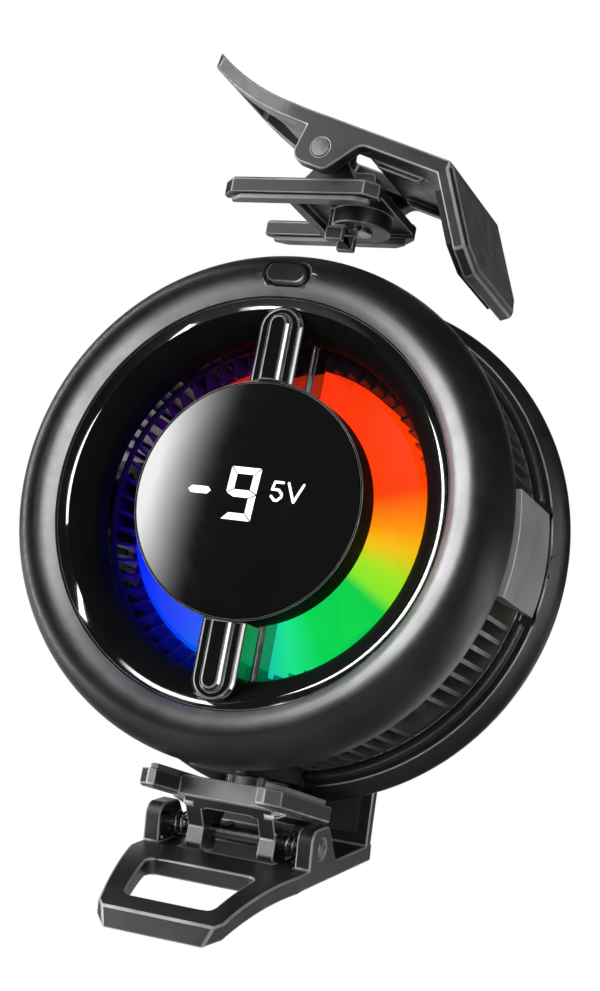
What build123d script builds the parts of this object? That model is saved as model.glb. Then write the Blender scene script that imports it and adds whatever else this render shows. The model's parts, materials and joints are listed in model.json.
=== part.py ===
from build123d import *
from math import asin, atan2, ceil, cos, degrees, dist, pi, radians, sin, sqrt, tan
import os

# Phone cooling fan that clamps on the back of a phone with two sprung clips.
# +Z is up, -Y is the lit front, and the face that touches the phone lies in the plane Y = 0.
# Depths named *_y are measured rearwards from the widest plane of the front ring.
# Sizes are in millimetres and angles in degrees.

# Clearances
seat_gap = 0.05
slide_gap = 0.2
guard_gap = 0.3
cut_over = 1.0
full_turn = 360
quarter_turn = 90

# Front ring, a bulging shell that carries the buttons
ring_r = 33.0
ring_bulge = 3.6
ring_crown_r = ring_r - ring_bulge
ring_crown_y = -6.2
ring_fall = 2.9
ring_inner_r = ring_crown_r - ring_fall
ring_inner_y = -4.3
ring_turn_in = 1.5
ring_tail_r = ring_r - ring_turn_in
ring_tail_y = 4.6
ring_wall = 1.8

# Glossy bowl that leads the air in
bowl_rim_gap = 0.15
bowl_rim_r = ring_inner_r - bowl_rim_gap
bowl_rim_y = -4.0
bowl_mid_in = 1.65
bowl_mid_r = bowl_rim_r - bowl_mid_in
bowl_mid_y = -2.95
bowl_lip_in = 3.55
bowl_lip_r = bowl_rim_r - bowl_lip_in
bowl_lip_y = -0.9
bowl_throat_in = 2.25
bowl_throat_r = bowl_rim_r - bowl_throat_in
bowl_wall = 1.3
bowl_flange_gap = 0.4
bowl_flange_r = ring_tail_r - ring_wall - bowl_flange_gap
bowl_flange_t = 1.2

# Display pod in the middle of the bowl
pod_r = 15.4
pod_front_y = -3.9
pod_back_y = 0.9
pod_rim = 0.35
pod_wall = 1.4
pod_floor = 0.9
pod_chamfer = 0.7
lens_front_y = -4.75
lens_edge_y = -4.0
lens_back_y = -2.4
display_board_r = pod_r - pod_wall - 2 * slide_gap
digit_frame_in = 1.6
digit_frame_r = display_board_r - digit_frame_in
board_t = 0.8

# Lit figures in the lens: a minus sign, a nine, and a small five with a V
digit_h = 6.8
digit_w = 4.1
digit_stroke = 0.95
digit_gap = 0.1
digit_slant = 3
digit_x = -0.45
digit_z = 0.5
minus_w = 3.2
minus_x = -6.25
small_h = 2.3
small_w = 1.35
small_stroke = 0.34
small_z = 0.15
five_x = 3.6
vee_x = 5.65
vee_w = 2.0
five_top_share = 0.58
five_corner_share = 0.2

# Bridge arms that carry the pod across the bowl
arm_ridge_w = 3.0
arm_ridge_y = -4.6
arm_ridge_in = 2.05
arm_ridge_end_r = bowl_rim_r - arm_ridge_in
arm_base_w = 6.0
arm_base_y = -3.7
arm_base_in = 0.85
arm_base_end_r = bowl_rim_r - arm_base_in
arm_keel_w = 7.0
arm_keel_y = 1.3
arm_keel_in = 2.4
arm_keel_start_r = pod_r - arm_keel_in
arm_keel_end_r = bowl_lip_r - guard_gap
arm_back_y = 5.2
arm_chamfer = 0.45

# Power button in the crown of the ring
button_w = 5.3
button_h = 2.5
button_x = 0.6
button_in = 0.5
button_z = ring_crown_r - button_in
button_top_y = -6.7
button_well = 0.6
button_well_y = -5.5
button_flange = 0.55
button_flange_t = 0.7
button_deep = 1.6
button_travel = 0.5
button_round = 0.3
switch_w = 3.2
switch_h = 2.6
key_board_gap = 1.0
key_board_r = ring_r - ring_wall - key_board_gap
key_board_arc = 56

# Shroud behind the bowl
shroud_t = 1.0
shroud_bore_r = bowl_throat_r + guard_gap
shroud_r = ring_r - ring_wall

# Impeller: a translucent hub with a ring of blades
blade_tip_gap = 0.5
blade_r = bowl_throat_r - blade_tip_gap
blade_len = 3.3
hub_r = blade_r - blade_len
hub_front_y = 6.3
hub_back_y = 13.6
hub_wall = 0.8
hub_round = 0.6
hub_boss_r = 2.4
hub_boss_t = 2.2
blade_t = 0.4
blade_count = 64
blade_lean = 18
blade_ring_w = 0.6
blade_ring_t = 0.6
blade_front_y = 5.95

# Motor inside the hub
shaft_r = 1.0
shaft_back_y = 15.2
bearing_bore_gap = 0.05
bearing_r = 2.4
bearing_t = 1.4
tube_r = 3.2
yoke_r = 10.85
yoke_wall = 0.6
magnet_t = 1.1
stator_r = 8.6
stator_front_y = 10.2
stator_back_y = 13.2
pole_count = 6
pole_w = 2.0
pole_tip_w = 5.2
pole_tip_t = 1.2
coil_w = 3.6
coil_gap = 0.2

# Ring of lamps that light the hub
lamp_board_gap = 0.75
lamp_board_in_r = yoke_r + lamp_board_gap
lamp_board_r = hub_r - hub_wall - guard_gap
lamp_board_y = 12.6
lamp_count = 12
lamp_size = 1.6
lamp_t = 0.7
lamp_in = 3.6
lamp_circle_r = lamp_board_r - lamp_in

# Heatsink with radial fins
panel_r = ring_r
panel_t = 1.5
sink_r = panel_r - panel_t - slide_gap
sink_front_y = 15.6
sink_t = 1.6
fin_gap = 1.4
fin_in_r = blade_r + fin_gap
fin_r = sink_r + guard_gap
fin_t = 0.6
fin_count = 96
post_r = 1.6
post_in = 1.3
post_circle_r = bowl_flange_r - post_in
stand_r = 1.0

# Side panels between the two rings
panel_arc = 24
panel_back_y = 18.8

# Round bead beside the fins
bead_r = 0.75
bead_y = 17.4
bead_end_arc = 3

# Rear cover, with the rounded rear ring
rear_proud = 2.0
rear_r = ring_r + rear_proud
rear_wide_y = 21.4
rear_front_y = 19.0
rear_shoulder_in = 1.7
rear_shoulder_r = rear_r - rear_shoulder_in
rear_neck_gap = 0.1
rear_neck_r = panel_r - panel_t - rear_neck_gap
rear_neck_wall = 1.5
rear_edge_in = 4.0
rear_edge_r = rear_r - rear_edge_in
rear_face_y = 25.2
rear_plate_t = 1.6

# Cold side: ceramic module, cold plate and pad
face_y = 26.4
cold_r = 22.0
pad_in = 1.0
pad_r = cold_r - pad_in
pad_t = 0.4
cold_disc_t = 2.8
module_w = 30.0
ceramic_t = 0.8
pellet_t = 1.8
pellet_w = 1.6
pellet_rows = 8
module_gap = 0.4
gasket_r = rear_neck_r - rear_neck_wall - module_gap
gasket_t = 3.4

# Screws
screw_r = 0.7
screw_head_r = 1.5
screw_head_t = 0.9
screw_circle_r = gasket_r - screw_head_r - slide_gap
screw_count = 4
screw_first = 45
frame_screw_len = 9.0
hex_r = 0.65
hex_deep = 0.5

# USB-C inlet in the left panel
inlet_w = 8.94
inlet_h = 3.26
inlet_deep = 7.3
inlet_wall = 0.3
inlet_y = 10.4
tongue_w = 6.6
tongue_t = 0.7
tongue_len = 5.0
inlet_board_w = 13.0
inlet_board_len = 5.4

# Clip sockets in the rim, top and bottom
socket_y = 16.2
socket_r = 5.9
socket_bore_r = 5.0
socket_low = 0.1
socket_top_z = ring_r - socket_low
socket_deep = 4.3
socket_floor_z = socket_top_z - socket_deep
socket_floor_t = 0.8

# Release buttons under the ring
release_w = 7.6
release_h = 2.6
release_y = 2.9
release_proud = 0.4
release_top_z = ring_r + release_proud
release_deep = 2.5
release_flange = 0.6
release_flange_t = 0.6

# Clips: sizes in the frame of the hinge pin, u rearwards and w outwards
pin_y = 13.2
pin_rise = 7.4
pin_z = ring_r + pin_rise
pin_r = 0.82
pin_head_r = 1.25
pin_head_t = 0.6
pin_fit = 0.05
lift_height = 9.9
lift_turn = -90

bar_in_x = 6.9
bar_w = 2.8
bar_front_u = -13.0
bar_back_u = 8.0
bar_front_w = -3.7
bar_back_w = -3.2
bar_t = 2.3
bar_chamfer = 1.7
bar_edge = 0.35
strip_w = 1.8
strip_t = 0.7
strip_inset = 1.3
saddle_t = 1.4
saddle_w = -3.6
saddle_front_u = -5.4
saddle_lip_t = 1.3
saddle_lip_deep = 2.6
lug_x = 3.9
lug_t = 2.3
lug_half = 2.2
lug_top_w = 2.8
lug_round = 0.9
lug_front_u = -5.2
lug_back_u = 4.2
arch_t = 1.2
arch_round = 1.0
web_out_w = -2.5
web_front_u = -4.6
web_back_u = 6.8
web_t = 1.1
collar_r = 4.1
collar_deep = 2.4
tab_x = 1.7
tab_u = -2.7
tab_t = 0.8
tab_w = 2.5
tab_end_w = -9.6
tab_hook = 0.35
tab_hook_t = 1.8
stud_r = 1.6
stud_deep = 4.2
stud_head_r = 2.3
stud_head_t = 0.7

lever_half = 11.8
lever_tip_half = 8.4
lever_tip_cut = 1.8
lever_face = 4.4
lever_t = 2.2
lever_tip_t = 2.5
lever_bend_a = 18.2
lever_straight_a = -4.0
lever_taper_a = -6.8
lever_tip_a = -22.4
lever_tip_n = 9.0
upper_slope = 17.5
lower_slope = 13
upper_longer = 1.6
lower_longer = 0
upper_bend = 51
lower_bend = 84
jaw_len = 15.1
jaw_cut = 3.0
jaw_bevel = 0.7
jaw_pad_t = 1.0
jaw_pad_inset = 1.6
ear_t = 2.2
ear_front_a = -3.5
ear_low_n = -2.8
ear_low_a = 1.9
ear_back_a = 6.0
ear_round = 1.6
ear_root_round = 1.8
hole_front_a = -19.0
hole_back_a = -9.8
hole_front_half = 5.9
hole_back_half = 7.6
hole_round = 1.2
slot_front_a = -3.5
slot_back_a = 4.8
slot_half = 6.7
rib_w = 0.9
rib_deep = 0.9

# Torsion springs beside the lugs
spring_wire_r = 0.19
spring_r = 1.5
spring_pitch = 0.86
spring_turns = 2.5
spring_leg = 3.2
spring_samples = 4
spring_near = 24

# Sizes that follow
ear_in_x = lever_half - ear_t
lug_out_x = lug_x + lug_t
bar_out_x = bar_in_x + bar_w
sink_back_y = sink_front_y + sink_t
shroud_front_y = ring_tail_y + seat_gap
shroud_back_y = shroud_front_y + shroud_t
fin_front_y = shroud_back_y + seat_gap
flange_front_y = ring_tail_y - bowl_flange_t
hot_back_y = sink_back_y + ceramic_t
pellet_back_y = hot_back_y + pellet_t
module_back_y = pellet_back_y + ceramic_t
cold_front_y = face_y - pad_t - cold_disc_t
socket_out_r = socket_r + seat_gap
plug_u = socket_y - pin_y


def turned(*lines):
    """Solid of revolution about the fan axis from lines in (radius, depth)."""
    return revolve(make_face(Curve() + list(lines)), Axis.Y, full_turn)


def ring(inner, outer, front, back):
    """Flat ring about the fan axis."""
    return turned(Polyline((inner, front), (outer, front), (outer, back), (inner, back), close=True))


def block(x0, x1, y0, y1, z0, z1):
    """Box between two corners."""
    size = (x1 - x0, y1 - y0, z1 - z0)
    return Pos((x0 + x1) / 2, (y0 + y1) / 2, (z0 + z1) / 2) * Box(*size)


def around(angle):
    """Turn about the fan axis, counted from +X towards +Z."""
    return Rot(0, -angle, 0)


def plate_y(sketch, front, back):
    """Sketch in X and Z, thick from one depth to another."""
    return extrude(Plane.XZ.offset(-back) * sketch, back - front)


def plate_z(sketch, low, high):
    """Sketch in X and Y, thick from one height to another."""
    return extrude(Plane.XY.offset(low) * sketch, high - low)


def plate_x(sketch, low, high):
    """Sketch in Y and Z, thick from one side to another."""
    return extrude(Plane.YZ.offset(low) * sketch, high - low)


def outline(*points):
    """Closed face through points."""
    return make_face(Polyline(*points, close=True))


def pin_at(radius, front, back, place_r, angle):
    """Cylinder along the fan axis, off centre."""
    return around(angle) * Pos(place_r, 0, 0) * plate_y(Circle(radius), front, back)


def spread(count, first=0):
    """Evenly spaced angles."""
    return [first + full_turn * index / count for index in range(count)]


def apart(angle, other):
    """Smallest angle between two directions."""
    return abs((angle - other + full_turn / 2) % full_turn - full_turn / 2)


def socket_bay():
    """Room that the two clip sockets take in the rim."""
    hole = plate_z(Circle(socket_out_r), socket_floor_z - socket_floor_t - seat_gap, rear_r + cut_over)
    hole = Pos(0, socket_y, 0) * hole
    return [hole, mirror(hole, Plane.XY)]


def front_ring():
    shell = turned(
        Spline((ring_tail_r, ring_tail_y), (ring_r, 0), (ring_crown_r, ring_crown_y),
               (ring_inner_r, ring_inner_y)),
        Line((ring_inner_r, ring_inner_y), (ring_inner_r, ring_inner_y + ring_wall)),
        Spline((ring_inner_r, ring_inner_y + ring_wall), (ring_crown_r, ring_crown_y + ring_wall),
               (ring_r - ring_wall, 0), (ring_tail_r - ring_wall, ring_tail_y)),
        Line((ring_tail_r - ring_wall, ring_tail_y), (ring_tail_r, ring_tail_y)))
    top = ring_crown_y - cut_over
    steps = ((button_well, top, button_well_y), (slide_gap, top, 0),
             (button_flange + slide_gap, button_flange_y() - seat_gap, 0))
    for grow, front, back in steps:
        key = SlotOverall(button_w + 2 * grow, button_h + 2 * grow)
        shell -= Pos(button_x, 0, button_z) * plate_y(key, front, back)
    under = release_top_z - release_deep + release_flange_t + seat_gap
    hole = plate_z(release_outline(0, slide_gap), ring_inner_r, ring_r + cut_over)
    hole += plate_z(release_outline(release_flange, slide_gap), ring_inner_r, under)
    hole = Pos(0, release_y, 0) * hole
    return shell - [hole, mirror(hole, Plane.XY)]


def bowl_front(shift):
    """Glossy front line of the bowl, from rim to throat, moved inwards by a clearance."""
    rim = (bowl_rim_r, bowl_rim_y - shift)
    lip = (bowl_lip_r - shift, bowl_lip_y)
    throat = (bowl_throat_r - shift, ring_tail_y)
    bowl = Spline(rim, (bowl_mid_r - shift, bowl_mid_y - shift), lip)
    return [bowl, TangentArc(lip, throat, tangent=bowl % 1)]


def bezel_bowl():
    inner = bowl_throat_r + bowl_wall
    return turned(
        *bowl_front(0),
        Polyline((bowl_throat_r, ring_tail_y), (bowl_flange_r, ring_tail_y), (bowl_flange_r, flange_front_y),
                 (inner, flange_front_y), (bowl_mid_r + bowl_wall / 2, 0),
                 (bowl_rim_r, bowl_rim_y + bowl_wall), (bowl_rim_r, bowl_rim_y))) - [
        pin_at(screw_r + seat_gap, flange_front_y - cut_over, ring_tail_y + cut_over, post_circle_r, angle)
        for angle in spread(screw_count, screw_first)]


def bowl_room():
    """Space that the bowl and all behind it takes from the bridge arms."""
    return turned(
        *bowl_front(seat_gap),
        Polyline((bowl_throat_r - seat_gap, ring_tail_y), (ring_r, ring_tail_y),
                 (ring_r, bowl_rim_y - seat_gap), (bowl_rim_r, bowl_rim_y - seat_gap)))


def arm_tier(width, start, end, front, back):
    """One round-ended tier of a bridge arm, standing on the pod."""
    bar = Pos(0, (start + end) / 2) * SlotOverall(end - start, width, rotation=quarter_turn)
    bar += Pos(0, start + width / 2) * Rectangle(width, width)
    return plate_y(bar, front, back)


def bridge_arm():
    ridge = arm_tier(arm_ridge_w, pod_r - pod_wall, arm_ridge_end_r, arm_ridge_y, arm_keel_y)
    ridge = chamfer(ridge.faces().sort_by(Axis.Y)[0].edges(), arm_chamfer)
    base = arm_tier(arm_base_w, pod_r - pod_wall, arm_base_end_r, arm_base_y, arm_keel_y)
    base = chamfer(base.faces().sort_by(Axis.Y)[0].edges(), arm_chamfer)
    half = arm_keel_w / 2
    keel = block(-half, half, arm_keel_y, arm_back_y, arm_keel_start_r, arm_keel_end_r)
    keel = chamfer(keel.faces().sort_by(Axis.Y)[0].edges().filter_by(Axis.Z), arm_chamfer)
    pod = ring(0, pod_r + seat_gap, arm_ridge_y - cut_over, pod_back_y + seat_gap)
    return ridge + base + keel - pod - bowl_room()


def display_pod():
    inner = pod_r - pod_wall
    seat = pod_r - pod_rim
    step = lens_back_y + seat_gap
    return turned(Polyline(
        (0, pod_back_y), (pod_r - pod_chamfer, pod_back_y), (pod_r, pod_back_y - pod_chamfer),
        (pod_r, pod_front_y), (seat, pod_front_y), (seat, step), (inner, step),
        (inner, pod_back_y - pod_floor),
        (0, pod_back_y - pod_floor), close=True))


def display_lens():
    return domed_disc() - Compound(children=figure_prisms())


def domed_disc():
    """The whole lens, before the figures are let in."""
    edge = pod_r - pod_rim - seat_gap
    rise = lens_edge_y - lens_front_y
    dome_r = (edge ** 2 + rise ** 2) / (2 * rise)
    half = asin(edge / dome_r) / 2
    middle = (dome_r * sin(half), lens_front_y + dome_r * (1 - cos(half)))
    return turned(
        Polyline((0, lens_front_y), (0, lens_back_y), (edge, lens_back_y), (edge, lens_edge_y)),
        ThreePointArc((edge, lens_edge_y), middle, (0, lens_front_y)))


def slanted(*points):
    """Outline of a piece of a figure, leaning to the right."""
    return outline(*[(x + z * tan(radians(digit_slant)), z) for x, z in points])


def middle_bar(length, taper):
    """Bar with a point at both ends."""
    half = length / 2
    edge = digit_stroke / 2
    return slanted((-half, 0), (taper - half, edge), (half - taper, edge), (half, 0), (half - taper, -edge),
                   (taper - half, -edge))


def digit_nine():
    """Six bars with thin gaps between their mitred ends."""
    half = digit_w / 2
    top = digit_h / 2
    inner = half - digit_stroke
    low = top - digit_stroke
    edge = low + digit_gap / 2
    foot = digit_stroke / 2 + digit_gap
    flat = [(digit_gap - half, top), (half - digit_gap, top), (inner, edge), (-inner, edge)]
    post = [(half, top - digit_gap), (half, digit_gap), (inner, foot), (inner, low - digit_gap)]
    bars = [flat, [(x, -z) for x, z in flat], post, [(x, -z) for x, z in post], [(-x, z) for x, z in post]]
    return [slanted(*bar) for bar in bars] + [middle_bar(digit_w - 2 * digit_gap, digit_stroke)]


def strokes(*points):
    """Line of round-ended strokes through points."""
    figure = Sketch()
    for (x0, z0), (x1, z1) in zip(points, points[1:]):
        turn = degrees(atan2(z1 - z0, x1 - x0))
        bar = SlotCenterToCenter(dist((x0, z0), (x1, z1)), small_stroke)
        figure += Pos((x0 + x1) / 2, (z0 + z1) / 2) * Rot(0, 0, turn) * bar
    return figure


def small_five():
    top = small_h * five_top_share
    corner = small_h * five_corner_share
    return Pos(five_x, small_z) * strokes(
        (small_w, small_h), (corner / 2, small_h), (0, top), (small_w - corner, top), (small_w, top - corner),
        (small_w, corner), (small_w - corner, 0), (corner, 0), (0, corner))


def small_vee():
    return Pos(vee_x, small_z) * strokes((0, small_h), (vee_w / 2, 0), (vee_w, small_h))


def figure_prisms():
    """Light guides of all figures, right through the lens."""
    pieces = [Pos(minus_x, digit_z) * middle_bar(minus_w, digit_stroke / 2)]
    pieces += [Pos(digit_x, digit_z) * piece for piece in digit_nine()]
    pieces += [small_five(), small_vee()]
    prisms = [plate_y(piece, lens_front_y - cut_over, lens_back_y) for piece in pieces]
    return [solid for prism in prisms for solid in prism.solids()]


def digit_segments():
    lens = domed_disc()
    return Compound(children=[solid for prism in figure_prisms() for solid in (prism & lens).solids()])


def light_wells():
    """Square wells behind the figures."""
    small_end = vee_x + vee_w
    minus = (minus_x, digit_z, minus_w, digit_stroke)
    nine = (digit_x, digit_z, digit_w, digit_h)
    small = ((five_x + small_end) / 2, small_z + small_h / 2, small_end - five_x, small_h + small_stroke)
    return [
        block(x - width / 2, x + width / 2, lens_back_y, display_back(), z - height / 2, z + height / 2)
        for x, z, width, height in (minus, nine, small)]


def digit_frame():
    return ring(0, digit_frame_r, lens_back_y + seat_gap, display_back() - board_t) - light_wells()


def display_back():
    """Back of the display board, on the floor of the pod."""
    return pod_back_y - pod_floor - seat_gap


def display_board():
    return ring(0, display_board_r, display_back() - board_t + seat_gap, display_back())


def button_flange_y():
    """Front of the flange that keeps the button in."""
    return ring_crown_y + button_deep


def power_button():
    back = button_flange_y()
    cap = plate_y(SlotOverall(button_w, button_h), button_top_y, back)
    cap = fillet(cap.faces().sort_by(Axis.Y)[0].edges(), button_round)
    flange = SlotOverall(button_w + 2 * button_flange, button_h + 2 * button_flange)
    return Pos(button_x, 0, button_z) * (cap + plate_y(flange, back, back + button_flange_t))


def button_switch():
    top = button_flange_y() + button_flange_t + button_travel + seat_gap
    back = flange_front_y - board_t - seat_gap
    body = plate_y(Rectangle(switch_w, switch_h), top + button_travel, back)
    return Pos(button_x, 0, button_z) * (body + plate_y(Circle(switch_h / 4), top, top + button_travel))


def button_board():
    """Arc-shaped board under the power button, on the flange of the bowl."""
    inner = bowl_throat_r + bowl_wall + guard_gap
    front = flange_front_y - board_t
    section = outline((inner, front), (key_board_r, front), (key_board_r, flange_front_y),
                      (inner, flange_front_y))
    return around(quarter_turn - key_board_arc / 2) * revolve(section, Axis.Y, -key_board_arc)


def fan_shroud():
    return ring(shroud_bore_r, shroud_r, shroud_front_y, shroud_back_y) - [
        pin_at(screw_r + seat_gap, shroud_front_y - cut_over, shroud_back_y + cut_over, post_circle_r, angle)
        for angle in spread(screw_count, screw_first)]


def impeller_hub():
    inner = hub_r - hub_wall
    under = hub_front_y + hub_wall
    cup = turned(
        Polyline((shaft_r + seat_gap, hub_front_y), (hub_r - hub_round, hub_front_y),
                 (hub_r, hub_front_y + hub_round), (hub_r, hub_back_y), (inner, hub_back_y), (inner, under),
                 (hub_boss_r, under),
                 (hub_boss_r, under + hub_boss_t), (shaft_r + seat_gap, under + hub_boss_t), close=True))
    return cup


def impeller_blades():
    inner = hub_r + seat_gap
    wheel = ring(inner, blade_r, hub_back_y - blade_ring_t, hub_back_y)
    wheel += ring(blade_r - blade_ring_w, blade_r, blade_front_y, blade_front_y + blade_ring_t)
    blade = block(0, blade_r - inner - blade_ring_w / 2, blade_front_y + blade_ring_t / 2,
                  hub_back_y - blade_ring_t / 2, -blade_t / 2, blade_t / 2)
    blade = Pos(inner + blade_ring_w / 4, 0, 0) * Rot(0, blade_lean, 0) * blade
    return wheel + [around(angle) * blade for angle in spread(blade_count)]


def rotor_yoke():
    top = hub_front_y + hub_wall + seat_gap
    return turned(Polyline(
        (hub_boss_r + seat_gap, top), (yoke_r, top), (yoke_r, hub_back_y), (yoke_r - yoke_wall, hub_back_y),
        (yoke_r - yoke_wall, top + yoke_wall), (hub_boss_r + seat_gap, top + yoke_wall), close=True))


def rotor_magnet():
    outer = yoke_r - yoke_wall - seat_gap
    return ring(outer - magnet_t, outer, stator_front_y - guard_gap, hub_back_y)


def motor_shaft():
    return ring(0, shaft_r, hub_front_y + seat_gap, shaft_back_y)


def bearing_fronts():
    front = hub_front_y + hub_wall + hub_boss_t + guard_gap
    return front, sink_front_y - bearing_t - seat_gap


def motor_bearings():
    bore = shaft_r + bearing_bore_gap
    return Compound(children=[ring(bore, bearing_r, front, front + bearing_t) for front in bearing_fronts()])


def bearing_tube():
    front = bearing_fronts()[0]
    return ring(bearing_r + seat_gap, tube_r, front, sink_front_y - seat_gap)


def stator_pole():
    """Neck and head of one pole, pointing along +X."""
    neck = block(tube_r, stator_r - pole_tip_t / 2, stator_front_y, stator_back_y, -pole_w / 2, pole_w / 2)
    head = block(0, stator_r, stator_front_y, stator_back_y, -pole_tip_w / 2, pole_tip_w / 2)
    return neck + (head & ring(stator_r - pole_tip_t, stator_r, stator_front_y, stator_back_y))


def stator_core():
    core = ring(tube_r + seat_gap, tube_r + pole_tip_t, stator_front_y, stator_back_y)
    poles = [around(angle) * stator_pole() for angle in spread(pole_count)]
    return core + poles - ring(0, tube_r + seat_gap, 0, face_y)


def stator_coils():
    """One closed winding round each neck."""
    start = tube_r + pole_tip_t + coil_gap
    end = sqrt((stator_r - pole_tip_t) ** 2 - (coil_w / 2) ** 2) - coil_gap
    over = (coil_w - pole_w) / 2
    outer = block(start, end, stator_front_y - over, stator_back_y + over, -coil_w / 2, coil_w / 2)
    half = pole_w / 2 + seat_gap
    front = stator_front_y - seat_gap
    back = stator_back_y + seat_gap
    bore = block(start - cut_over, end + cut_over, front, back, -half, half)
    winding = outer - bore
    return Compound(children=[around(angle) * winding for angle in spread(pole_count)])


def lamp_board():
    return ring(lamp_board_in_r, lamp_board_r, lamp_board_y, lamp_board_y + board_t)


def lamp_chips():
    chip = Pos(lamp_circle_r, 0, 0) * block(
        -lamp_size / 2, lamp_size / 2, lamp_board_y - lamp_t, lamp_board_y, -lamp_size / 2, lamp_size / 2)
    return Compound(children=[around(angle) * chip for angle in spread(lamp_count)])


def fin_angles():
    """Directions of the fins, which leave room for panels, sockets and posts."""
    side = panel_arc / 2 + bead_end_arc / 2
    socket = degrees(atan2(socket_out_r + fin_t, fin_r))
    post = degrees(atan2(post_r, post_circle_r))
    free = []
    for angle in spread(fin_count, full_turn / fin_count / 2):
        clear = all(apart(angle, way) > side for way in (0, 2 * quarter_turn))
        clear = clear and all(apart(angle, way) > socket for way in (quarter_turn, -quarter_turn))
        if clear and all(apart(angle, way) > post for way in spread(screw_count, screw_first)):
            free.append(angle)
    return free


def heatsink():
    body = ring(0, sink_r, sink_front_y, sink_back_y)
    fin = block(fin_in_r, fin_r, fin_front_y, sink_front_y + sink_t / 2, -fin_t / 2, fin_t / 2)
    body += [around(angle) * fin for angle in fin_angles()]
    ways = spread(screw_count, screw_first)
    body += [pin_at(post_r, fin_front_y, sink_front_y + sink_t / 2, post_circle_r, way) for way in ways]
    stand_end = lamp_board_y + board_t + seat_gap
    body += [pin_at(stand_r, stand_end, sink_front_y + sink_t / 2, lamp_circle_r, way) for way in ways]
    drill = screw_r + seat_gap
    body -= [pin_at(drill, 0, frame_screw_end() + guard_gap, post_circle_r, way) for way in ways]
    body -= [pin_at(drill, case_screw_end() - guard_gap, face_y, screw_circle_r, way) for way in ways]
    return body - socket_bay()


def frame_screw_end():
    return flange_front_y + frame_screw_len


def case_screw_end():
    return sink_front_y + sink_t / 4 + guard_gap


def wedge(section, arc, middle):
    """Part of a ring, centred on a direction."""
    return around(middle - arc / 2) * revolve(section, Axis.Y, -arc)


def side_panel(middle):
    front = shroud_front_y + seat_gap
    section = outline((panel_r - panel_t, front), (panel_r - panel_t, panel_back_y), (panel_r, panel_back_y),
                      (panel_r, front))
    panel = wedge(section, panel_arc, middle)
    inner = panel_r - panel_t
    rib = outline((inner - panel_t, fin_front_y), (inner - panel_t, sink_front_y - seat_gap),
                  (inner, sink_front_y - seat_gap), (inner, fin_front_y))
    return panel + wedge(rib, panel_arc, middle)


def inlet_mouth(grow, low, high):
    """Rounded slot of the inlet, through the left side."""
    mouth = Pos(inlet_y, 0) * SlotOverall(inlet_w + 2 * grow, inlet_h + 2 * grow, rotation=quarter_turn)
    return plate_x(mouth, low, high)


def side_panel_left():
    return side_panel(2 * quarter_turn) - inlet_mouth(slide_gap, -panel_r - cut_over, -fin_in_r)


def usb_c_port():
    mouth_x = -(panel_r - panel_t)
    end = mouth_x + inlet_deep
    shell = inlet_mouth(0, mouth_x, end) - inlet_mouth(-inlet_wall, mouth_x - cut_over, end - inlet_wall)
    tongue = block(end - tongue_len - inlet_wall, end, inlet_y - tongue_t / 2, inlet_y + tongue_t / 2,
                   -tongue_w / 2, tongue_w / 2)
    return shell + tongue


def power_board():
    start = guard_gap - sqrt((panel_r - 2 * panel_t) ** 2 - (inlet_board_w / 2) ** 2)
    front = inlet_y + inlet_h / 2 + seat_gap
    half = inlet_board_w / 2
    return block(start, start + inlet_board_len, front, front + board_t, -half, half)


def trim_bead():
    """Four arcs of round bead, with rounded ends by the panels and gaps at the sockets."""
    middle_r = rear_neck_r + seat_gap + bead_r
    side = panel_arc / 2 + bead_end_arc
    socket = degrees(atan2(socket_out_r + bead_r, middle_r))
    arc = quarter_turn - side - socket
    section = Pos(middle_r, bead_y) * Circle(bead_r)
    bead = wedge(section, arc, side + arc / 2)
    for way in (side, side + arc):
        bead += around(way) * Pos(middle_r, bead_y, 0) * Sphere(bead_r)
    pair = [bead, mirror(bead, Plane.XY)]
    return Compound(children=pair + [mirror(piece, Plane.YZ) for piece in pair])


def rear_cover():
    inner = rear_neck_r - rear_neck_wall
    front_plate = rear_face_y - rear_plate_t
    shell = turned(
        Polyline((rear_neck_r, rear_front_y), (rear_neck_r, sink_back_y + seat_gap),
                 (inner, sink_back_y + seat_gap),
                 (inner, front_plate), (cold_r + slide_gap, front_plate), (cold_r + slide_gap, rear_face_y),
                 (rear_edge_r, rear_face_y)),
        Spline((rear_edge_r, rear_face_y), (rear_r, rear_wide_y), (rear_shoulder_r, rear_front_y)),
        Line((rear_shoulder_r, rear_front_y), (rear_neck_r, rear_front_y)))
    for way in spread(screw_count, screw_first):
        shell -= pin_at(screw_r + seat_gap, front_plate - cut_over, face_y, screw_circle_r, way)
        sunk = rear_face_y - screw_head_t - seat_gap
        shell -= pin_at(screw_head_r + seat_gap, sunk, face_y, screw_circle_r, way)
    return shell - socket_bay()


def foam_gasket():
    half = module_w / 2 + module_gap
    gasket = ring(0, gasket_r, sink_back_y + seat_gap, sink_back_y + gasket_t)
    gasket -= block(-half, half, sink_front_y, face_y, -half, half)
    gasket -= [pin_at(screw_r + guard_gap, sink_front_y, face_y, screw_circle_r, way)
               for way in spread(screw_count, screw_first)]
    return gasket - socket_bay()


def square_plate(width, front, back):
    return block(-width / 2, width / 2, front, back, -width / 2, width / 2)


def peltier_pellets():
    pitch = module_w / (pellet_rows + 1)
    start = -pitch * (pellet_rows - 1) / 2
    pellet = square_plate(pellet_w, hot_back_y, pellet_back_y)
    places = [start + pitch * index for index in range(pellet_rows)]
    return Compound(children=[Pos(x, 0, z) * pellet for x in places for z in places])


def cold_plate():
    plate = ring(0, cold_r, cold_front_y, face_y - pad_t)
    return plate + square_plate(module_w, module_back_y, cold_front_y + cold_disc_t / 2)


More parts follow.
